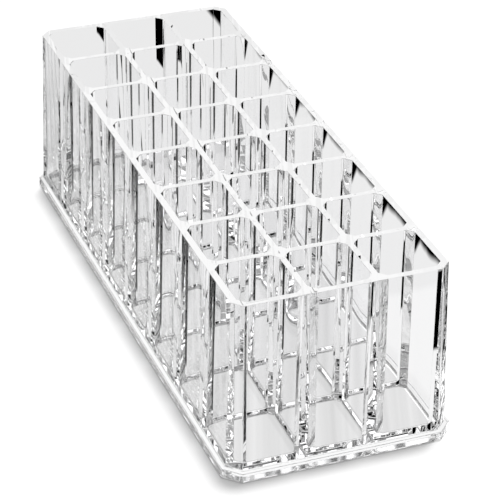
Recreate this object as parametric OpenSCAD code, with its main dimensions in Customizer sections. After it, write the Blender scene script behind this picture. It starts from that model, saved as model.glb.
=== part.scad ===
// Clear vanity organizer: a grid of deep cells for lip gloss, mascara and brushes.
// +X runs across the width, +Y along the length away from the viewer, +Z up.
// The origin is the middle of the footprint, on the surface that it stands on.

/* [Cells] */
// Cells across the width
columns = 3; // [2:1:5]
// Cells along the length
rows = 8; // [3:1:10]
// Width of a cell at the rim
cell_w = 24.2; // [18:0.1:40]
// Length of a cell at the rim
cell_l = 26.8; // [18:0.1:40]
// Leg of the flat that cuts each corner of a cell
cell_cut = 2.6; // [1.5:0.1:5]
// How far each side of a cell leans in between rim and floor
cell_lean = 0.7; // [0.2:0.1:1.2]

/* [Dividers] */
// Thickness of a divider at the rim
divider_t = 2.4; // [1.6:0.1:4]
// Height of the half laps, as a share of the cell's depth
lap_share = 0.5; // [0.3:0.05:0.7]
// Play on each side of a long divider in the slots of the cross dividers
lap_play = 0.15; // [0.05:0.05:0.4]

/* [Outer walls] */
// Height of the rim above the table
body_h = 72; // [50:0.5:120]
// Thickness of the outer walls at the rim
wall_t = 2.6; // [1.8:0.1:4]
// How far the outer faces lean out between rim and base
wall_lean = 1.8; // [0.5:0.1:3]
// Leg of the flat on each upright outer corner, at the rim
corner_cut = 3.8; // [2:0.1:4.6]

/* [Base] */
// Height of the base's ledge above the table
plinth_h = 3.7; // [2.5:0.1:6]
// Width of the ledge outside the foot of the walls
ledge_w = 1.7; // [0.8:0.1:4]
// Height of the cell floors above the ledge
floor_rise = 0.9; // [0.4:0.1:2]
// Thickness of the cell floors
floor_t = 2.4; // [1.6:0.1:3]
// Width of the foot that runs round the underside
foot_w = 6; // [4:0.5:12]

/* [Hidden] */

// Heights of the floors and of the half laps
floor_z = plinth_h + floor_rise;
lap_z = floor_z + (body_h - floor_z) * lap_share;
// Half sizes of the well, the space inside the outer walls, at the rim
well_x = (columns * cell_w + (columns - 1) * divider_t) / 2;
well_y = (rows * cell_l + (rows - 1) * divider_t) / 2;
// Steps from one cell to the next
pitch_x = cell_w + divider_t;
pitch_y = cell_l + divider_t;
// Where the side walls end and the end walls, which carry the corners, begin
side_reach = well_y - cell_cut - cell_lean;
// What a flat across a right corner gains in leg when its outline grows by 1
leg_gain_share = 2 - sqrt(2);
// Half width of a crossing: a divider, the flats that widen it and a little of the plates beyond
node_half = divider_t / 2 + cell_cut + cell_lean;
// Cuts run past the surfaces that they open by this much
overrun = wall_t;
clear_tint = [0.86, 0.9, 0.93, 0.45];

// Middle of cell i across and cell j along, counted from 0
function cell_x(i) = (i - (columns - 1) / 2) * pitch_x;
function cell_y(j) = (j - (rows - 1) / 2) * pitch_y;
// Middle of the divider before cell i or j
function line_x(i) = cell_x(i) - pitch_x / 2;
function line_y(j) = cell_y(j) - pitch_y / 2;
// How far the cells have leant in, and the outer faces out, at height z
function lean_in(z) = cell_lean * (body_h - z) / (body_h - floor_z);
function lean_out(z) = wall_lean * (body_h - z) / (body_h - plinth_h);

// Rectangle of half sizes x and y with its corners cut by leg, and all its sides moved out by grow
function cut_box(x, y, leg, grow) =
    let (a = x + grow, b = y + grow, c = leg + grow * leg_gain_share)
    [[-a + c, -b], [a - c, -b], [a, -b + c], [a, b - c], [a - c, b], [-a + c, b], [-a, b - c], [-a, -b + c]];

function rectangle(x, y) = [[-x, -y], [x, -y], [x, y], [-x, y]];

// Solid between an outline at height z0 and the same outline, moved in or out, at height z1
module taper(lower, upper, z0, z1) {
    n = len(lower);
    polyhedron(
        points = concat([for (p = lower) [p.x, p.y, z0]], [for (p = upper) [p.x, p.y, z1]]),
        faces = concat(
            [[for (k = [0 : n - 1]) k], [for (k = [n - 1 : -1 : 0]) n + k]],
            [for (k = [0 : n - 1]) [k, n + k, n + (k + 1) % n, (k + 1) % n]]
        )
    );
}

// Space inside the outer walls between two heights
module well(z0, z1) {
    taper(
        cut_box(well_x, well_y, cell_cut, -lean_in(z0)),
        cut_box(well_x, well_y, cell_cut, -lean_in(z1)),
        z0, z1
    );
}

// Ring of the four outer walls, standing on the base's ledge
module wall_ring() {
    outer_x = well_x + wall_t;
    outer_y = well_y + wall_t;
    difference() {
        taper(
            cut_box(outer_x, outer_y, corner_cut, lean_out(plinth_h)),
            cut_box(outer_x, outer_y, corner_cut, 0),
            plinth_h, body_h
        );
        well(plinth_h - overrun, body_h + overrun);
    }
}

// Upright slab of the whole height, from corner a to corner b in plan
module zone(a, b) {
    translate([a.x, a.y, 0])
        cube([b.x - a.x, b.y - a.y, body_h + overrun]);
}

reach_x = well_x + wall_t + wall_lean + overrun;
reach_y = well_y + wall_t + wall_lean + overrun;

// End wall with both chamfered corners; side is -1 at the front and 1 at the back
module end_wall(side) {
    intersection() {
        wall_ring();
        zone(
            [-reach_x, side < 0 ? -reach_y : side_reach],
            [reach_x, side < 0 ? -side_reach : reach_y]
        );
    }
}

// Side wall between the corners; side is -1 on the left and 1 on the right
module side_wall(side) {
    intersection() {
        wall_ring();
        zone(
            [side < 0 ? -reach_x : 0, -side_reach],
            [side < 0 ? 0 : reach_x, side_reach]
        );
    }
}

// Outline of the hollow beside a divider that runs along +X, between a and b at the rim; at the
// plate's own ends its corner flats run on past them
function beside(a, b, z, first, last) =
    let (
        lean = lean_in(z),
        h = divider_t / 2 + lean,
        c = cell_cut - lean * leg_gain_share,
        p = a + lean,
        q = b - lean,
        e = first ? overrun : 0,
        f = last ? overrun : 0,
        far = node_half + 2 * overrun
    )
    [[p + c, h], [q - c, h], [q + f, h + c + f], [q + f, far], [p - e, far], [p - e, h + c + e]];

// Divider along +X before it is slotted, across a well of half size reach, with the hollows beside it
// between the pairs of places in spans
module plate(reach, spans) {
    low = floor_z - overrun;
    high = body_h + overrun;
    last = len(spans) - 1;
    difference() {
        taper(
            rectangle(reach - lean_in(floor_z), node_half),
            rectangle(reach, node_half),
            floor_z, body_h
        );
        for (turn = [0, 180], k = [0 : last])
            rotate([0, 0, turn])
                taper(
                    beside(spans[k][0], spans[k][1], low, k == 0, k == last),
                    beside(spans[k][0], spans[k][1], high, k == 0, k == last),
                    low, high
                );
    }
}

// Long divider: flared where it meets the end walls, slotted from above
module long_divider(i) {
    color(clear_tint)
        difference() {
            translate([line_x(i), 0, 0])
                rotate([0, 0, 90])
                    plate(well_y, [[-well_y, well_y]]);
            for (j = [1 : rows - 1])
                translate([line_x(i), line_y(j), lap_z])
                    linear_extrude(body_h)
                        square([pitch_x, 2 * node_half], center = true);
        }
}

// Cross divider: flared where it meets walls and long dividers, slotted from below
module cross_divider(j) {
    function slot(z) = rectangle(divider_t / 2 + lean_in(z) + lap_play, pitch_y / 2);
    color(clear_tint)
        translate([0, line_y(j), 0])
            difference() {
                plate(well_x, [for (i = [0 : columns - 1]) [cell_x(i) - cell_w / 2, cell_x(i) + cell_w / 2]]);
                for (i = [1 : columns - 1])
                    translate([line_x(i), 0, 0])
                        taper(slot(floor_z - overrun), slot(lap_z), floor_z - overrun, lap_z);
            }
}

// Base: plinth with a ledge round the walls, raised cell floors and a recessed underside
module base() {
    plinth_grow = wall_t + wall_lean + ledge_w;
    recess_grow = plinth_grow - foot_w;
    corner = corner_cut - wall_t * leg_gain_share;
    color(clear_tint)
        difference() {
            union() {
                linear_extrude(plinth_h)
                    polygon(cut_box(well_x, well_y, corner, plinth_grow));
                well(plinth_h, floor_z);
            }
            translate([0, 0, -overrun])
                linear_extrude(floor_z - floor_t + overrun)
                    polygon(cut_box(well_x, well_y, corner, recess_grow));
        }
}

module front_wall() {
    color(clear_tint) end_wall(-1);
}

module back_wall() {
    color(clear_tint) end_wall(1);
}

module left_wall() {
    color(clear_tint) side_wall(-1);
}

module right_wall() {
    color(clear_tint) side_wall(1);
}

base();
front_wall();
back_wall();
left_wall();
right_wall();
for (i = [1 : columns - 1])
    long_divider(i);
for (j = [1 : rows - 1])
    cross_divider(j);
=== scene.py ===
# Clear vanity organizer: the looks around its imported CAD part, in the same frame, +Z up
import math

import bpy
import numpy as np
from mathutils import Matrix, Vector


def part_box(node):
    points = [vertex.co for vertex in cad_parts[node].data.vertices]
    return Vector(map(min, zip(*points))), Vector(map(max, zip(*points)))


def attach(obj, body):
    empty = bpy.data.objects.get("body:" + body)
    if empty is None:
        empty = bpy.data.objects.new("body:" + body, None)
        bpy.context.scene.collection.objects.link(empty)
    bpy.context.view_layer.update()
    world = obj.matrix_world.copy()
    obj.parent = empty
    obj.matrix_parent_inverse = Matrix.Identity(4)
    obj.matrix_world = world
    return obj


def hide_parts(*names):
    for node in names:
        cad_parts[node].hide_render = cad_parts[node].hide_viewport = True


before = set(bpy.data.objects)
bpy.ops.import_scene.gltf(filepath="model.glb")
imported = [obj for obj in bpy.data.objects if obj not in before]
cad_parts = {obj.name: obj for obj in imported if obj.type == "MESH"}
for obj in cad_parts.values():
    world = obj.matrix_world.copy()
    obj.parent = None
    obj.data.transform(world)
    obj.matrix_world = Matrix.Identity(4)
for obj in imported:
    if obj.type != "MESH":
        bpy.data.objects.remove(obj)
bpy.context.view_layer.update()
mm = 0.001  # the shapes below are worked out in millimetres
weldSize = 0.0001  # points equal to within this are one point
# The floor and fillet slots carry painted shade: their plastic is darkened and streaked
clear, fused, shadedFloor, dullSide, roughShadedCove = range(5)  # material slots; only the base has the last three

# Sizes that several pieces share; heights and outer sizes come from the CAD frame
grid = {
    "columns": 3,
    "rows": 8,
    "dividerThickness": 2.4,   # at the rim
    "wallThickness": 2.6,      # at the rim
    "cellCornerLeg": 2.6,      # flat across each corner of a cell, at the rim
    "cellLean": 0.7,           # how far a cell side leans in from rim to floor
    "outerCornerLeg": 3.8,     # flat across each outer corner, at the rim
    "wallLean": 1.8,           # how far an outer face leans out from rim to ledge
    "ledgeWidth": 1.7,
    "ledgeHeight": 3.7,
    "lapShare": 0.5,           # height of the half laps in the depth of a cell
    "cellCornerRadius": 0.3,   # where a corner flat runs into a cell side
    "outerCornerRadius": 0.3,
    "rimRadius": 0.22,         # rounding of every edge at the rim
    "coveRadius": 0.8,         # fillet round each cell floor
    "arcSteps": 4,             # steps of a rounded corner, seen from above
    "roundSteps": 4,           # steps of a rounded edge
    "coveSteps": 5,            # steps of the fillet
    "sharpAngle": 38.0,        # an edge that turns further than this stays sharp, in degrees
}

baseHigh = np.array(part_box("base")[1]) / mm
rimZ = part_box("front_wall")[1][2] / mm
floorZ = baseHigh[2]
ledgeZ = grid["ledgeHeight"]
lapZ = floorZ + (rimZ - floorZ) * grid["lapShare"]
coveZ = floorZ + grid["coveRadius"]
baseGrow = grid["wallThickness"] + grid["wallLean"] + grid["ledgeWidth"]
wellX = baseHigh[0] - baseGrow  # half sizes of the space inside the outer walls, at the rim
wellY = baseHigh[1] - baseGrow
pitchX = (2 * wellX + grid["dividerThickness"]) / grid["columns"]
pitchY = (2 * wellY + grid["dividerThickness"]) / grid["rows"]
longLines = [(i - grid["columns"] / 2) * pitchX for i in range(1, grid["columns"])]
crossLines = [(j - grid["rows"] / 2) * pitchY for j in range(1, grid["rows"])]
legGain = 2 - math.sqrt(2)  # what a corner flat's leg gains when its outline grows by 1
arcTangent = math.tan(math.pi / 8)  # reach of a rounding of radius 1 along the sides of a flat's corner
nodeHalf = grid["dividerThickness"] / 2 + grid["cellCornerLeg"] + grid["cellLean"]  # half size of a crossing
# An end wall takes the corners with it and meets the side walls here
splitY = wellY - grid["cellCornerLeg"] - grid["cellLean"] - grid["cellCornerRadius"] * arcTangent


# How far a face has leaned at height z: its whole lean x its depth below the rim / the whole depth
def leanIn(z):
    return grid["cellLean"] * (rimZ - z) / (rimZ - floorZ)


def leanOut(z):
    return grid["wallLean"] * (rimZ - z) / (rimZ - ledgeZ)


# Round the inner corners of an open line. Each becomes a circle arc that begins and ends
# radius x tan(turn / 2) from it; the centre is radius / cos(turn / 2) away, midway between the sides.
def roundCorners(line, radius):
    corner, before, after = line[1:-1], line[:-2], line[2:]
    u = (before - corner) / np.linalg.norm(before - corner, axis=1)[:, None]
    v = (after - corner) / np.linalg.norm(after - corner, axis=1)[:, None]
    turn = np.arccos(np.clip(-(u * v).sum(1), -1, 1))
    middle = (u + v) / np.linalg.norm(u + v, axis=1)[:, None]
    centre = corner + middle * (radius / np.cos(turn / 2))[:, None]
    start = corner + u * (radius * np.tan(turn / 2))[:, None] - centre
    side = np.sign(u[:, 0] * -v[:, 1] + u[:, 1] * v[:, 0])
    a = turn[:, None] * np.linspace(0, 1, grid["arcSteps"] + 1)[None, :] * side[:, None]
    x = start[:, 0:1] * np.cos(a) - start[:, 1:2] * np.sin(a) + centre[:, 0:1]
    y = start[:, 0:1] * np.sin(a) + start[:, 1:2] * np.cos(a) + centre[:, 1:2]
    return np.stack([x, y], -1).reshape(-1, 2)


# Levels of an upright piece, each a height and how far its faces are drawn back there:
# the given heights, then a quarter round at the rim
def rimLevels(*heights):
    r = grid["rimRadius"]
    t = np.linspace(0, math.pi / 2, grid["roundSteps"] + 1)
    plain = [(z, 0.0) for z in heights]
    return plain + list(zip(rimZ - r * (1 - np.sin(t)), r * (1 - np.cos(t))))


# Half thickness of a divider, leg and rounding of its corner flats, and reach of a crossing, at one level
def dividerSizes(z, back):
    lean = leanIn(z) - back
    h = grid["dividerThickness"] / 2 + lean
    c = grid["cellCornerLeg"] - lean * legGain
    r = grid["cellCornerRadius"] + back
    return h, c, r, h + c + r * arcTangent


# One side of a divider that runs along +X beside the hollow between a and b: up out of the wall or
# crossing at a, over the corner flat, along, and over the flat at b, with all four corners rounded
def hollowSide(a, b, z, back):
    h, c, r, reach = dividerSizes(z, back)
    far = reach + r
    line = np.array([[a, -far], [a, -h - c], [a + c, -h], [b - c, -h], [b, -h - c], [b, -far]])
    return roundCorners(line, r)


# Outline round a divider, from one side of it
def bothSides(side):
    return np.concatenate([side, side[::-1] * [1, -1]])


# The same for the material slots, where the last of each side is an end of the divider
def bothSlots(slots):
    return np.array(slots[:-1] + [fused] + slots[-2::-1] + [fused])


sink = {
    "depth": 0.08,   # hollow that the cooling plastic leaves in the outer face beside a divider
    "width": 3.0,
    "reach": 2.2,    # where the hollow ends, in widths
    "steps": 12,
}


# Places along an outer face beside its dividers, and how far the face has sunk there:
# depth x exp(-(distance from the divider / width)^2), and 0 where the hollow ends
def sinkMarks(lines):
    steps = np.linspace(-sink["reach"], sink["reach"], sink["steps"] + 1) * sink["width"]
    places = np.add.outer(lines, steps).ravel()
    depth = np.tile(sink["depth"] * np.exp(-(steps / sink["width"]) ** 2), len(lines))
    depth[::len(steps)] = depth[len(steps) - 1::len(steps)] = 0
    return places, depth


# Turn an outline along +X so that it runs along +Y, and put it on its line
def alongY(points, x):
    return np.stack([x - points[..., 1], points[..., 0]], -1)


def atHeight(points, z):
    return np.concatenate([points, np.full(points.shape[:-1] + (1,), z)], -1)


# Half turn about the middle of the organizer
def turned(rows):
    return rows * [-1, -1, 1]


# A piece under construction: points, the faces' corners in one row of point numbers,
# and for each face how many corners it has and which material slot
def newPiece():
    return {"points": [], "corners": [], "counts": [], "slots": []}


# Numbers of the points added, in the points' own layout
def addPoints(piece, points):
    points = np.asarray(points, float)
    start = sum(len(p) for p in piece["points"])
    piece["points"].append(points.reshape(-1, 3))
    return start + np.arange(points.size // 3).reshape(points.shape[:-1])


# Faces from the numbers of their corners; slot is one material slot for all, or one for each face
def addFaces(piece, index, slot, flip):
    sides = index.shape[-1]
    piece["corners"].append((index[..., ::-1] if flip else index).ravel())
    piece["counts"].append(np.full(index.size // sides, sides))
    piece["slots"].append(np.broadcast_to(slot, index.shape[:-1]).ravel())


# Quads between closed outlines stacked as rows
def addStrip(piece, rows, slot, flip=False):
    index = addPoints(piece, rows)
    step = np.roll(index, -1, axis=1)
    addFaces(piece, np.stack([index[:-1], step[:-1], step[1:], index[1:]], -1), slot, flip)


# One face from its corners, or a face from each row of corners
def addPolygon(piece, points, slot, flip=False):
    addFaces(piece, addPoints(piece, points), slot, flip)


# Weld equal points, drop sides that have no length and faces with under three sides, and make the mesh
def finishPiece(piece, node, materials):
    points, corners, counts, slots = (np.concatenate(part) for part in piece.values())
    _, first, welded = np.unique(np.round(points / weldSize).astype(np.int64), axis=0,
                                 return_index=True, return_inverse=True)
    corners = welded.ravel()[corners]
    ends = np.cumsum(counts)
    before = np.arange(len(corners)) - 1  # the corner before each one in its face
    before[ends - counts] = ends - 1
    kept = corners != corners[before]
    left = np.add.reduceat(kept.astype(int), ends - counts)
    corners = corners[kept & np.repeat(left > 2, counts)]
    slots, counts = slots[left > 2], left[left > 2]
    name = "clear_" + node
    mesh = bpy.data.meshes.new(name)
    mesh.vertices.add(len(first))
    mesh.vertices.foreach_set("co", (points[first] * mm).astype(np.float32).ravel())
    mesh.loops.add(len(corners))
    mesh.loops.foreach_set("vertex_index", corners.astype(np.int32))
    mesh.polygons.add(len(counts))
    mesh.polygons.foreach_set("loop_start", (np.cumsum(counts) - counts).astype(np.int32))
    for material in materials:
        mesh.materials.append(material)
    mesh.polygons.foreach_set("material_index", slots.astype(np.int32))
    mesh.polygons.foreach_set("use_smooth", np.ones(len(counts), bool))
    mesh.update(calc_edges=True)
    mesh.set_sharp_from_angle(angle=math.radians(grid["sharpAngle"]))
    obj = bpy.data.objects.new(name, mesh)
    bpy.context.scene.collection.objects.link(obj)
    weighted = obj.modifiers.new("flatFacesStayFlat", "WEIGHTED_NORMAL")
    weighted.keep_sharp = True
    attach(obj, "root")
    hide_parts(node)
    return obj


# Cross divider: stretches with flared ends below the lap, and above it one plate whose outline bulges
# at each crossing
def crossDivider(y, name, materials):
    piece = newPiece()
    step = np.array([0, y, 0])

    def spans(z, back):  # from wall or crossing to the next, one for each column
        h = dividerSizes(z, back)[0]
        end = wellX - leanIn(z) + back
        return list(zip([-end] + [x + h for x in longLines], [x - h for x in longLines] + [end]))

    for c in range(grid["columns"]):
        rows = [atHeight(bothSides(hollowSide(*spans(z, 0)[c], z, 0)), z) + step
                for z in (floorZ, coveZ, lapZ)]
        count = len(rows[0])
        slots = np.full((2, count), clear)
        slots[0] = fused  # below the cove the base's fillet covers it
        slots[:, [count // 2 - 1, count - 1]] = fused
        addStrip(piece, rows, slots)
        addPolygon(piece, rows[0], fused, flip=True)

    rows = []
    for z, back in rimLevels(lapZ):
        parts, slots = [], []
        pairs = spans(z, back)
        for c, (a, b) in enumerate(pairs):
            parts.append(hollowSide(a, b, z, back))
            slots += [clear] * len(parts[-1])
            if c < len(pairs) - 1:
                parts.append(np.array([[b, -nodeHalf], [pairs[c + 1][0], -nodeHalf]]))
                slots += [fused, clear]
        rows.append(atHeight(bothSides(np.concatenate(parts)), z) + step)
    addStrip(piece, rows, bothSlots(slots))
    addPolygon(piece, rows[-1], clear)
    h, _, _, reach = dividerSizes(lapZ, 0)
    stops = [-nodeHalf, -reach, reach, nodeHalf]
    for x in longLines:
        ring = [[x + h, v] for v in stops] + [[x - h, v] for v in stops[::-1]]
        addPolygon(piece, atHeight(np.array(ring), lapZ) + step, fused, flip=True)
    return finishPiece(piece, name, materials)


# Long divider: one plate with flared ends below the lap, and above it a stretch between each two slots
def longDivider(x, name, materials):
    piece = newPiece()
    rows = []
    for z in (floorZ, coveZ, lapZ):
        h, _, _, reach = dividerSizes(z, 0)
        end = wellY - leanIn(z)
        side = hollowSide(-end, end, z, 0)
        half = len(side) // 2
        stops = [[v + s, -h] for v in crossLines for s in (-nodeHalf, -reach, reach, nodeHalf)]
        side = np.concatenate([side[:half], stops, side[half:]])
        rows.append(atHeight(alongY(bothSides(side), x), z))
    slots = [clear] * half + [clear, fused, clear, clear] * len(crossLines) + [clear] * half
    upper = bothSlots(slots)
    addStrip(piece, rows, np.stack([np.full(len(upper), fused), upper]))
    addPolygon(piece, rows[0], fused, flip=True)
    h, _, _, reach = dividerSizes(lapZ, 0)
    for v in crossLines:
        places = [v - nodeHalf, v - reach, v + reach, v + nodeHalf]
        ring = [[p, -h] for p in places] + [[p, h] for p in places[::-1]]
        addPolygon(piece, atHeight(alongY(np.array(ring), x), lapZ), fused)

    edges = [None] + crossLines + [None]
    for before, after in zip(edges[:-1], edges[1:]):
        rows = []
        for z, back in rimLevels(lapZ):
            h = dividerSizes(z, back)[0]
            end = wellY - leanIn(z) + back
            whole = hollowSide(-end, end, z, back)
            half = len(whole) // 2
            start = whole[:half] if before is None else np.array([[before + nodeHalf, -h]])
            stop = whole[half:] if after is None else np.array([[after - nodeHalf, -h]])
            rows.append(atHeight(alongY(bothSides(np.concatenate([start, stop])), x), z))
        count = len(rows[0])
        slots = np.full(count, clear)
        slots[[count // 2 - 1, count - 1]] = fused
        addStrip(piece, rows, slots)
        addPolygon(piece, rows[-1], clear)
    return finishPiece(piece, name, materials)


# Upright wall from its outlines at each level; side is -1 for the left or front and 1 for its twin
def raiseWall(side, rows, slots, name, materials):
    rows = np.array(rows)
    if side > 0:
        rows = turned(rows)
    piece = newPiece()
    addStrip(piece, rows, slots)
    addPolygon(piece, rows[0], fused, flip=True)
    addPolygon(piece, rows[-1], clear)
    return finishPiece(piece, name, materials)


# Side wall: outer face leaning out, inner face leaning in, met by each cross divider
def sideWall(side, name, materials):
    places, depth = sinkMarks(crossLines)
    rows = []
    for z, back in rimLevels(floorZ, coveZ):
        reach = dividerSizes(z, back)[3]
        outer = -(wellX + grid["wallThickness"] + leanOut(z) - back)
        inner = -(wellX - leanIn(z) + back)
        joints = [[[inner, y - reach], [inner, y + reach]] for y in crossLines]
        sunk = np.stack([outer + depth, places], 1)[::-1]
        ring = np.concatenate([[[outer, -splitY], [inner, -splitY]], np.reshape(joints, (-1, 2)),
                               [[inner, splitY], [outer, splitY]], sunk])
        rows.append(atHeight(ring, z))
    last = len(ring) - len(sunk) - 2  # where the inner line ends
    slots = np.full((len(rows) - 1, len(ring)), clear)
    slots[:, [0, last]] = fused
    slots[:, 2:last - 1:2] = fused
    slots[0, 1:last] = fused
    return raiseWall(side, rows, slots, name, materials)


# End wall with both flat corners, met by each long divider
def endWall(side, name, materials):
    places, depth = sinkMarks(longLines)
    rows = []
    for z, back in rimLevels(floorZ, coveZ):
        reach = dividerSizes(z, back)[3]
        grow = leanOut(z) - back
        a = wellX + grid["wallThickness"] + grow
        b = wellY + grid["wallThickness"] + grow
        leg = grid["outerCornerLeg"] + grow * legGain
        outer = np.array([[-a, 0], [-a, -b + leg], [-a + leg, -b], [a - leg, -b], [a, -b + leg], [a, 0]])
        outer = roundCorners(outer, grid["outerCornerRadius"])
        outer = np.insert(outer, len(outer) // 2, np.stack([places, depth - b], 1), axis=0)
        shrink = leanIn(z) - back
        p, q = wellX - shrink, wellY - shrink
        leg = grid["cellCornerLeg"] - shrink * legGain
        inner = np.array([[p, 0], [p, -q + leg], [p - leg, -q], [-p + leg, -q], [-p, -q + leg], [-p, 0]])
        inner = roundCorners(inner, grid["cellCornerRadius"] + back)
        half = len(inner) // 2
        joints = np.reshape([[[x + reach, -q], [x - reach, -q]] for x in longLines[::-1]], (-1, 2))
        ring = np.concatenate([[[-a, -splitY]], outer, [[a, -splitY], [p, -splitY]],
                               inner[:half], joints, inner[half:], [[-p, -splitY]]])
        rows.append(atHeight(ring, z))
    first = len(outer) + 2  # where the inner line begins
    slots = np.full((len(rows) - 1, len(ring)), clear)
    slots[:, [first - 1, -1]] = fused
    slots[:, first + 1 + half:first + 1 + half + len(joints):2] = fused
    slots[0, first:] = fused
    return raiseWall(side, rows, slots, name, materials)


base = {
    "footWidth": 6.0,        # flat rim that the organizer stands on
    "floorThickness": 2.4,
    "footRadius": 0.2,       # edge between foot and side
    "ledgeRadius": 0.3,      # outer edge of the ledge
    "wallFillet": 0.25,      # where the walls rise from the ledge
    "recessRadius": 0.3,     # inner edge of the hollow underneath
    "leastRadius": 0.02,     # corner of a cell floor, which the fillet leaves almost sharp
    "borderDigits": 6,       # decimals to which places on the cells' border are compared
}


# Rectangle of half sizes a and b with flat, rounded corners, from the near side on and anticlockwise
def flatCornered(a, b, leg, radius):
    line = np.array([[-a + leg, -b], [a - leg, -b], [a, -b + leg], [a, b - leg],
                     [a - leg, b], [-a + leg, b], [-a, b - leg], [-a, -b + leg]])
    return roundCorners(np.concatenate([line[-1:], line, line[:1]]), radius)


# Outline round the whole organizer, grown out from the well
def bodyOutline(grow):
    leg = grid["outerCornerLeg"] + (grow - grid["wallThickness"]) * legGain
    return flatCornered(wellX + grow, wellY + grow, leg, grid["outerCornerRadius"])


# Outline of one cell's hollow at one level, drawn in by inset
def cellOutline(cx, cy, z, inset):
    shrink = leanIn(z) + inset
    a = pitchX / 2 - grid["dividerThickness"] / 2 - shrink
    b = pitchY / 2 - grid["dividerThickness"] / 2 - shrink
    leg = grid["cellCornerLeg"] - shrink * legGain
    return flatCornered(a, b, leg, max(grid["cellCornerRadius"] - inset, base["leastRadius"])) + [cx, cy]


# Profile of the base from the recess underneath, over the foot, side and ledge to the walls, each row
# its distance out from the well and its height; every edge is a quarter round
def baseProfile():
    t = np.linspace(0, math.pi / 2, grid["roundSteps"] + 1)
    s, c = 1 - np.sin(t), 1 - np.cos(t)
    recess = baseGrow - base["footWidth"]
    under = floorZ - base["floorThickness"]
    wall = grid["wallThickness"] + leanOut(ledgeZ)
    return np.concatenate([
        np.stack([recess - base["recessRadius"] * s, under - base["recessRadius"] * c], 1),
        np.stack([recess + base["footRadius"] * c, base["footRadius"] * s], 1),
        np.stack([baseGrow - base["footRadius"] * s, base["footRadius"] * c], 1),
        np.stack([baseGrow - base["ledgeRadius"] * c, ledgeZ - base["ledgeRadius"] * s], 1),
        np.stack([wall + base["wallFillet"] * s, ledgeZ + base["wallFillet"] * c], 1),
        [[grid["wallThickness"] + leanOut(floorZ), floorZ]],
    ])


# Seat round one cell: each point of its outline is joined to the border of its plot straight out from it,
# and the last of each side to the plot's corner too. Gives the points on the border.
def cellSeat(piece, foot, west, east, south, north):
    count = len(foot) // 4
    side = np.arange(len(foot)) // count  # near, right, far, left
    out = foot.copy()
    out[:, 0] = np.select([side == 1, side == 3], [east, west], foot[:, 0])
    out[:, 1] = np.select([side == 0, side == 2], [south, north], foot[:, 1])
    corner = out.copy()
    corner[count - 1::count, :2] = [[east, south], [east, north], [west, north], [west, south]]
    webs = [foot, out, corner, np.roll(out, -1, axis=0), np.roll(foot, -1, axis=0)]
    addPolygon(piece, np.stack(webs, 1), fused)
    return out


# Seat of the outer walls: one face to a side, between the top of the base's side and the cells' border
def wallSeat(piece, top, border, xs, ys):
    count = grid["arcSteps"] + 1  # points to a rounded corner; the outline has eight, two to a side
    cuts = [0, 2 * count - 1, 4 * count, 6 * count - 1, 8 * count]
    sides = [(1, ys[0], 1), (0, xs[-1], 1), (1, ys[-1], -1), (0, xs[0], -1)]
    for start, stop, (axis, place, way) in zip(cuts[:-1], cuts[1:], sides):
        along = 1 - axis
        onLine = border[np.abs(border[:, axis] - place) < 10 ** -base["borderDigits"]][:, along]
        values = np.concatenate([onLine, ys if along else xs])
        values = np.unique(np.round(values, base["borderDigits"]))[::-way]
        inner = np.zeros((len(values), 3))
        inner[:, axis], inner[:, along], inner[:, 2] = place, values, floorZ
        outer = np.take(top, range(start, stop + 1), axis=0, mode="wrap")
        addPolygon(piece, np.concatenate([outer, inner]), fused)


# Base: plinth with foot, ledge and recess, and on top the cell floors with a fillet round each
def basePlate(name, materials):
    piece = newPiece()
    rows = np.array([atHeight(bodyOutline(grow), z) for grow, z in baseProfile()])
    arc = grid["roundSteps"] + 1
    slots = np.full((len(rows) - 1, 1), clear)
    slots[2 * arc:4 * arc - 1] = dullSide  # side of the plinth with its two rounded edges
    addStrip(piece, rows, slots)
    addPolygon(piece, rows[0], clear, flip=True)

    margin = grid["wallThickness"] / 2
    xs = [-wellX - margin] + longLines + [wellX + margin]  # borders of the cells' plots
    ys = [-wellY - margin] + crossLines + [wellY + margin]
    t = np.linspace(0, math.pi / 2, grid["coveSteps"] + 1)
    rises = grid["coveRadius"] * (1 - np.cos(t))
    insets = grid["coveRadius"] * (1 - np.sin(t))
    border = []
    for i in range(grid["columns"]):
        for j in range(grid["rows"]):
            cx = (i - (grid["columns"] - 1) / 2) * pitchX
            cy = (j - (grid["rows"] - 1) / 2) * pitchY
            cove = [atHeight(cellOutline(cx, cy, floorZ + rise, inset), floorZ + rise)
                    for rise, inset in zip(rises, insets)]
            # Fillet and floor take the plastics darkened with painted shade and painted caustic streaks
            addStrip(piece, cove, roughShadedCove, flip=True)
            addPolygon(piece, cove[0], shadedFloor)
            foot = atHeight(cellOutline(cx, cy, floorZ, 0), floorZ)
            addStrip(piece, [foot, cove[-1]], fused)
            border.append(cellSeat(piece, foot, xs[i], xs[i + 1], ys[j], ys[j + 1]))
    wallSeat(piece, rows[-1], np.concatenate(border), xs, ys)
    return finishPiece(piece, name, materials)


# Makes a node, and sets or links its inputs
def shaderNode(tree, kind, inputs=None, **values):
    node = tree.nodes.new(kind)
    for key, value in values.items():
        setattr(node, key, value)
    for key, value in (inputs or {}).items():
        if isinstance(value, bpy.types.NodeSocket):
            tree.links.new(value, node.inputs[key])
        else:
            node.inputs[key].default_value = value
    return node


def maths(tree, operation, first, second):
    return shaderNode(tree, "ShaderNodeMath", {0: first, 1: second}, operation=operation).outputs[0]


# Brings low to fromLow and high to fromHigh, in a straight line or as way says, and holds the ends
def remap(tree, value, low, high, fromLow, fromHigh, way="LINEAR"):
    return shaderNode(tree, "ShaderNodeMapRange", {0: value, 1: low, 2: high, 3: fromLow, 4: fromHigh},
                      interpolation_type=way).outputs[0]


def emptyTree(owner):
    owner.use_nodes = True
    owner.node_tree.nodes.clear()
    return owner.node_tree


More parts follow.
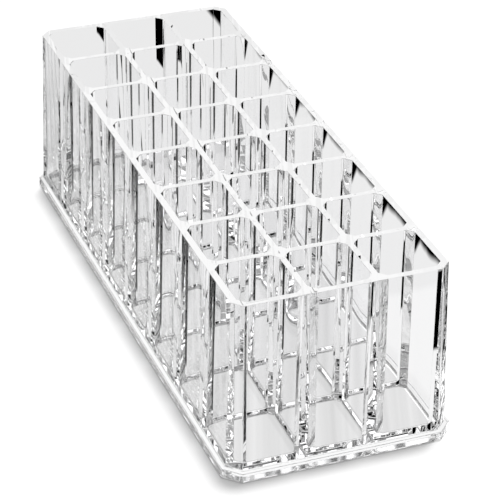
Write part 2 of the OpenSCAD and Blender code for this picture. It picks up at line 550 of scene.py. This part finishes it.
plastic = {
    "colour": (0.997, 0.997, 0.998, 1),
    "ior": 1.5,
    "mirrorFrom": 0.2,       # Fresnel share below which a face only lets light through
    "roughness": 0.0,
    "sideRoughness": 0.15,   # side of the plinth and coves, which are less polished
    "waveHeight": 0.00005,   # slow waves of the moulded faces, in metres
    "waveScale": 80.0,
    "waveStretch": 0.12,     # their scale upright, as a share of waveScale
    "waveDetail": 0.0,
    "waveStep": (0.37, 0.21, 0.13),  # how far they move from one piece to the next, in metres
    "floorShadedLight": 0.81,      # light that the cell floors let through, lowered as painted shade of the table seen through them
    "coveShadedLight": 0.71,       # the same painted shade, for the fillet round each floor
    "streakShare": 0.45,     # how far painted streaks of caustic light and shadow on floors and fillets change that light
    "streakScale": 140.0,
    "streakDetail": 2.0,
    "streakTurn": 21.2,      # way the streaks run, clockwise from the far end, in degrees
    "shadowTint": 0.97,      # light left in a shadow by a face square to it
    "slantPower": 3.0,
    "slantLoss": 0.56,       # share of that light which a face along it takes away
}


# Normal of a moulded face whose height is waveHeight x slow noise, stretched upright as plastic flows up
def mouldWaves(tree, place, seed):
    mapped = shaderNode(tree, "ShaderNodeMapping", {
        "Vector": place, "Location": [seed * step for step in plastic["waveStep"]],
        "Scale": (1, 1, plastic["waveStretch"])}).outputs[0]
    noise = shaderNode(tree, "ShaderNodeTexNoise", {
        "Vector": mapped, "Scale": plastic["waveScale"], "Detail": plastic["waveDetail"]})
    return shaderNode(tree, "ShaderNodeBump", {
        "Height": noise.outputs["Fac"], "Distance": plastic["waveHeight"], "Strength": 1.0}).outputs[0]


# Painted streaks of caustic light and shadow: light x (1 - streakShare / 2 + streakShare x noise along
# aside), where aside = x cos(streakTurn) - y sin(streakTurn) is the distance across them
def paintedCausticStreaks(tree, place, light):
    axes = shaderNode(tree, "ShaderNodeSeparateXYZ", {0: place}).outputs
    turn = math.radians(plastic["streakTurn"])
    aside = maths(tree, "SUBTRACT", maths(tree, "MULTIPLY", axes[0], math.cos(turn)),
                  maths(tree, "MULTIPLY", axes[1], math.sin(turn)))
    noise = shaderNode(tree, "ShaderNodeTexNoise", {
        "W": aside, "Scale": plastic["streakScale"], "Detail": plastic["streakDetail"]},
        noise_dimensions="1D")
    change = plastic["streakShare"] / 2
    return remap(tree, noise.outputs["Fac"], 0, 1, light * (1 - change), light * (1 + change))


# Clear moulded plastic: refraction, and a mirror whose share is (Fresnel - mirrorFrom) / (1 - mirrorFrom).
# Rays that light or shade dull surfaces go straight through, and a face leaves
# shadowTint x (1 - slantLoss x slant^slantPower) of them, slant being 0 square to the ray and 1 along it.
def clearPlastic(name, seed, light=None, roughness=plastic["roughness"]):
    material = bpy.data.materials.new(name)
    tree = emptyTree(material)
    place = shaderNode(tree, "ShaderNodeTexCoord").outputs["Object"]
    normal = mouldWaves(tree, place, seed)
    # Given a light, the refraction is darkened to it with streaks: painted shade and caustic light of the
    # table beneath
    colour = plastic["colour"] if light is None else paintedCausticStreaks(tree, place, light)
    bent = shaderNode(tree, "ShaderNodeBsdfRefraction", {
        "Color": colour, "Roughness": roughness, "IOR": plastic["ior"], "Normal": normal})
    shine = shaderNode(tree, "ShaderNodeBsdfGlossy", {
        "Color": (1, 1, 1, 1), "Roughness": plastic["roughness"], "Normal": normal})
    fresnel = shaderNode(tree, "ShaderNodeFresnel", {"IOR": plastic["ior"], "Normal": normal})
    share = remap(tree, fresnel.outputs[0], plastic["mirrorFrom"], 1, 0, 1)
    seen = shaderNode(tree, "ShaderNodeMixShader", {0: share, 1: bent.outputs[0], 2: shine.outputs[0]})
    slant = shaderNode(tree, "ShaderNodeLayerWeight", {"Blend": 0.5}).outputs["Facing"]
    loss = maths(tree, "MULTIPLY", maths(tree, "POWER", slant, plastic["slantPower"]), plastic["slantLoss"])
    kept = maths(tree, "MULTIPLY", maths(tree, "SUBTRACT", 1, loss), plastic["shadowTint"])
    through = shaderNode(tree, "ShaderNodeBsdfTransparent", {"Color": kept})
    rays = shaderNode(tree, "ShaderNodeLightPath").outputs
    straight = maths(tree, "MAXIMUM", rays["Is Shadow Ray"], rays["Is Diffuse Ray"])
    mix = shaderNode(tree, "ShaderNodeMixShader", {0: straight, 1: seen.outputs[0], 2: through.outputs[0]})
    shaderNode(tree, "ShaderNodeOutputMaterial", {"Surface": mix.outputs[0]})
    return material


# Face that is fused to a neighbour: nothing to see, because the plastic goes on behind it
def fusedFace(name):
    material = bpy.data.materials.new(name)
    tree = emptyTree(material)
    nothing = shaderNode(tree, "ShaderNodeBsdfTransparent", {"Color": (1, 1, 1, 1)})
    shaderNode(tree, "ShaderNodeOutputMaterial", {"Surface": nothing.outputs[0]})
    return material


print("stage: base")
fusedMaterial = fusedFace("fusedFace")
basePlate("base", [
    clearPlastic("basePlastic", 1), fusedMaterial,
    # The floor and fillet plastics are darkened and streaked: painted shade and caustic light of the table
    # under them
    clearPlastic("floorPlastic", 1, plastic["floorShadedLight"]),
    clearPlastic("sidePlastic", 1, roughness=plastic["sideRoughness"]),
    clearPlastic("covePlastic", 1, plastic["coveShadedLight"], plastic["sideRoughness"])])
print("stage: walls")
endWall(-1, "front_wall", [clearPlastic("frontWallPlastic", 2), fusedMaterial])
endWall(1, "back_wall", [clearPlastic("backWallPlastic", 3), fusedMaterial])
sideWall(-1, "left_wall", [clearPlastic("leftWallPlastic", 4), fusedMaterial])
sideWall(1, "right_wall", [clearPlastic("rightWallPlastic", 5), fusedMaterial])
print("stage: dividers")
for number, x in enumerate(longLines, 1):
    material = clearPlastic("longDividerPlastic%d" % number, 5 + number)
    longDivider(x, "long_divider_%d" % number, [material, fusedMaterial])
for number, y in enumerate(crossLines, 1):
    material = clearPlastic("crossDividerPlastic%d" % number, 7 + number)
    crossDivider(y, "cross_divider_%d" % number, [material, fusedMaterial])

studio = {
    "floorSize": 6.0,
    "floorDrop": 0.00005,    # gap under the foot, so that floor and foot don't share a plane
    "floorColour": (0.95, 0.95, 0.95, 1),
    "tableLight": 0.93,      # table seen in or through the plastic
    "glowLight": 0.965,      # the same under the organizer, whose walls guide light down to it
    "glowSoft": 0.002,
    "cardLight": 0.0,        # black cards and flags seen in or through the plastic
    "boxLight": 1.5,         # softboxes seen so
    "worldLight": 0.45,      # world seen so
    "worldFill": 0.1,        # world as it lights the table
    "panelDistance": 1.9,
    "panelPoints": 12,       # along each side of a panel
    "lampPower": 3.4,
    "lampSize": 7.0,         # angle across, in degrees
    "lampPlace": (0.1, 0.11, 1.0),  # it shines from here towards the origin
}
# Cards on the table that only the plastic shows, and faint patches of painted shade on it: west, east,
# near and far edge and softness, in metres, and darkness. The faint ones, of darkness under 0.2, are painted
# shade behind and beside the organizer and under its right and back walls and long dividers; the rest are
# black cards.
cardsAndShade = {
    "left": (-0.14, -0.051, -0.4, 0.3, 0.004, 1.0),
    "leftNear": (-0.056, -0.0455, -0.13, -0.065, 0.002, 1.0),
    # Painted shade on the table: behind, beside, and under the right and back walls and the long dividers
    "behind": (-0.6, 0.6, 0.126, 0.9, 0.01, 0.105),
    "beside": (0.051, 0.09, -0.03, 0.13, 0.006, 0.08),
    "shadeUnderRight": (0.04, 0.0485, -0.13, 0.13, 0.002, 0.05),
    "shadeUnderBack": (-0.047, 0.047, 0.108, 0.126, 0.002, 0.12),
    "shadeUnderLong1": (-0.0163, -0.0103, -0.11, 0.11, 0.001, 0.08),
    "shadeUnderLong2": (0.0103, 0.0163, -0.11, 0.11, 0.001, 0.08),
    "leftCorner": (-0.066, -0.052, -0.1, 0.01, 0.003, 1.0),
    "front": (-0.2, 0.045, -0.21, -0.124, 0.006, 1.0),
    "right": (0.0845, 0.094, -0.14, 0.32, 0.003, 1.0),
    "farRight": (0.091, 0.131, -0.14, 0.32, 0.003, 1.0),
    "backRight": (0.091, 0.131, 0.17, 0.26, 0.003, 1.0),
}
mirrorCards = ["left", "front", "farRight"]  # cards that show only where the plastic mirrors them
# Far panels that only the plastic shows: light, then west and east side, clockwise from the far end,
# and low and high edge above the table, all in degrees
panels = {
    "softbox": (studio["boxLight"], 14, 60, 24, 60),
    "topbox": (studio["boxLight"], 0, 360, 70, 90),
    "sideFlag": (studio["cardLight"], 88, 122, 18, 50),
    "backFlag": (studio["cardLight"], 328, 360, 0, 34),
    "lowFlag": (studio["cardLight"], 0, 32, 0, 19),
}


# 1 between two places with soft edges, and 0 outside
def between(tree, value, low, high, soft):
    rise = remap(tree, value, low - soft / 2, low + soft / 2, 0, 1, "SMOOTHSTEP")
    fall = remap(tree, value, high - soft / 2, high + soft / 2, 1, 0, "SMOOTHSTEP")
    return maths(tree, "MULTIPLY", rise, fall)


def stageObject(name, mesh):
    obj = bpy.data.objects.new(name, mesh)
    bpy.context.scene.collection.objects.link(obj)
    return obj


# Table: white paper to the eye. In or through the plastic its light is
# bright x (1 - dark) + cardLight x dark, where bright is glowLight under the organizer and tableLight
# elsewhere, and dark is the darkness of the darkest card or patch of painted shade there.
def stageFloor():
    half = studio["floorSize"] / 2
    z = -studio["floorDrop"]
    corners = [(-half, -half, z), (half, -half, z), (half, half, z), (-half, half, z)]
    mesh = bpy.data.meshes.new("floor")
    mesh.from_pydata(corners, [], [range(len(corners))])
    material = bpy.data.materials.new("whiteTable")
    tree = emptyTree(material)
    place = shaderNode(tree, "ShaderNodeTexCoord").outputs["Object"]
    axes = shaderNode(tree, "ShaderNodeSeparateXYZ", {0: place}).outputs
    inside = maths(tree, "MULTIPLY",
                   between(tree, axes[0], -baseHigh[0] * mm, baseHigh[0] * mm, studio["glowSoft"]),
                   between(tree, axes[1], -baseHigh[1] * mm, baseHigh[1] * mm, studio["glowSoft"]))
    bright = remap(tree, inside, 0, 1, studio["tableLight"], studio["glowLight"])
    rays = shaderNode(tree, "ShaderNodeLightPath").outputs
    afterMirror = maths(tree, "MINIMUM", rays["Glossy Depth"], 1)
    dark = 0
    for name, (west, east, near, far, soft, share) in cardsAndShade.items():
        across = between(tree, axes[0], west, east, soft)
        along = between(tree, axes[1], near, far, soft)
        darkPatch = maths(tree, "MULTIPLY", maths(tree, "MULTIPLY", across, along), share)
        if name in mirrorCards:
            darkPatch = maths(tree, "MULTIPLY", darkPatch, afterMirror)
        dark = maths(tree, "MAXIMUM", dark, darkPatch)
    level = remap(tree, dark, 0, 1, bright, studio["cardLight"])
    glow = shaderNode(tree, "ShaderNodeEmission", {"Strength": level})
    paper = shaderNode(tree, "ShaderNodeBsdfDiffuse", {"Color": studio["floorColour"]})
    plasticRay = maths(tree, "MAXIMUM", rays["Is Glossy Ray"], rays["Is Transmission Ray"])
    mix = shaderNode(tree, "ShaderNodeMixShader", {0: plasticRay, 1: paper.outputs[0], 2: glow.outputs[0]})
    shaderNode(tree, "ShaderNodeOutputMaterial", {"Surface": mix.outputs[0]})
    material.cycles.emission_sampling = "NONE"
    mesh.materials.append(material)
    return stageObject("floor", mesh)


# Panel: a patch of a sphere about the organizer, seen from it between two compass angles and two heights
def panel(name, light, west, east, low, high):
    points = studio["panelPoints"]
    angle, height = np.meshgrid(np.radians(np.linspace(west, east, points)),
                                np.radians(np.linspace(low, high, points)))
    places = studio["panelDistance"] * np.stack(
        [np.sin(angle) * np.cos(height), np.cos(angle) * np.cos(height), np.sin(height)], -1)
    k = np.arange(points * points).reshape(points, points)
    quads = np.stack([k[:-1, :-1], k[:-1, 1:], k[1:, 1:], k[1:, :-1]], -1).reshape(-1, 4)
    mesh = bpy.data.meshes.new(name)
    mesh.from_pydata(places.reshape(-1, 3).tolist(), [], quads.tolist())
    material = bpy.data.materials.new(name)
    tree = emptyTree(material)
    glow = shaderNode(tree, "ShaderNodeEmission", {"Strength": light})
    shaderNode(tree, "ShaderNodeOutputMaterial", {"Surface": glow.outputs[0]})
    material.cycles.emission_sampling = "NONE"
    mesh.materials.append(material)
    obj = stageObject(name, mesh)
    obj.visible_camera = obj.visible_diffuse = obj.visible_shadow = False
    return obj


# Puts a lamp or camera at its place with its own axes along right, up and away from ahead
def aim(obj, place, right, up, ahead):
    matrix = np.eye(4)
    matrix[:3] = np.stack([right, up, -ahead, place], 1)
    obj.matrix_world = matrix.T.tolist()


# Lamp above, beyond and to the right, which casts the short shadow to the left and the front
def stageLamp():
    lamp = bpy.data.lights.new("lamp", "SUN")
    lamp.energy = studio["lampPower"]
    lamp.angle = math.radians(studio["lampSize"])
    obj = bpy.data.objects.new("lamp", lamp)
    place = np.array(studio["lampPlace"])
    ahead = -place / np.linalg.norm(place)
    right = np.cross(ahead, [0, 1, 0])
    right /= np.linalg.norm(right)
    aim(obj, place, right, np.cross(right, ahead), ahead)
    bpy.context.scene.collection.objects.link(obj)
    obj.visible_glossy = obj.visible_transmission = False
    return obj


# World: 1, which is white, to the eye, worldFill to the table, and worldLight to the plastic
def stageWorld():
    world = bpy.data.worlds.new("studio")
    bpy.context.scene.world = world
    tree = emptyTree(world)
    rays = shaderNode(tree, "ShaderNodeLightPath").outputs
    fill = maths(tree, "MULTIPLY", rays["Is Diffuse Ray"], studio["worldFill"] - studio["worldLight"])
    seen = maths(tree, "MULTIPLY", rays["Is Camera Ray"], 1 - studio["worldLight"])
    level = maths(tree, "ADD", maths(tree, "ADD", fill, seen), studio["worldLight"])
    sky = shaderNode(tree, "ShaderNodeBackground", {"Strength": level})
    shaderNode(tree, "ShaderNodeOutputWorld", {"Surface": sky.outputs[0]})


print("stage: table, panels, lamp and world")
stageFloor()
for name, values in panels.items():
    panel(name, *values)
stageLamp()
stageWorld()

view = {
    "place": (-0.27651, -0.73929, 0.48528),
    "elevation": 30.43,    # how far it looks down, in degrees
    "azimuth": 21.18,      # way it looks, clockwise from the far end, in degrees
    "roll": 0.75,
    "lens": 164.61,
    "sensorWidth": 36,
    "clipStart": 0.05,
    "clipEnd": 20,
}


# Camera from its place, the direction it looks in, and how far it is rolled
def photoCamera():
    camera = bpy.data.cameras.new("camera")
    camera.lens = view["lens"]
    camera.sensor_width = view["sensorWidth"]
    camera.clip_start = view["clipStart"]
    camera.clip_end = view["clipEnd"]
    obj = bpy.data.objects.new("camera", camera)
    bpy.context.scene.collection.objects.link(obj)
    e, a, r = (math.radians(view[k]) for k in ("elevation", "azimuth", "roll"))
    ahead = np.array([math.sin(a) * math.cos(e), math.cos(a) * math.cos(e), -math.sin(e)])
    right = np.array([math.cos(a), -math.sin(a), 0])
    up = np.cross(right, ahead)
    right, up = right * math.cos(r) + up * math.sin(r), up * math.cos(r) - right * math.sin(r)
    aim(obj, view["place"], right, up, ahead)
    bpy.context.scene.camera = obj


bounces = {
    "max_bounces": 48,    # a ray crosses many clear faces
    "transmission_bounces": 48,
    "glossy_bounces": 32,
    "transparent_max_bounces": 96,
}

print("stage: camera")
photoCamera()
scene = bpy.context.scene
scene.view_settings.view_transform = "Standard"
for setting, count in bounces.items():
    setattr(scene.cycles, setting, count)
print("stage: done")
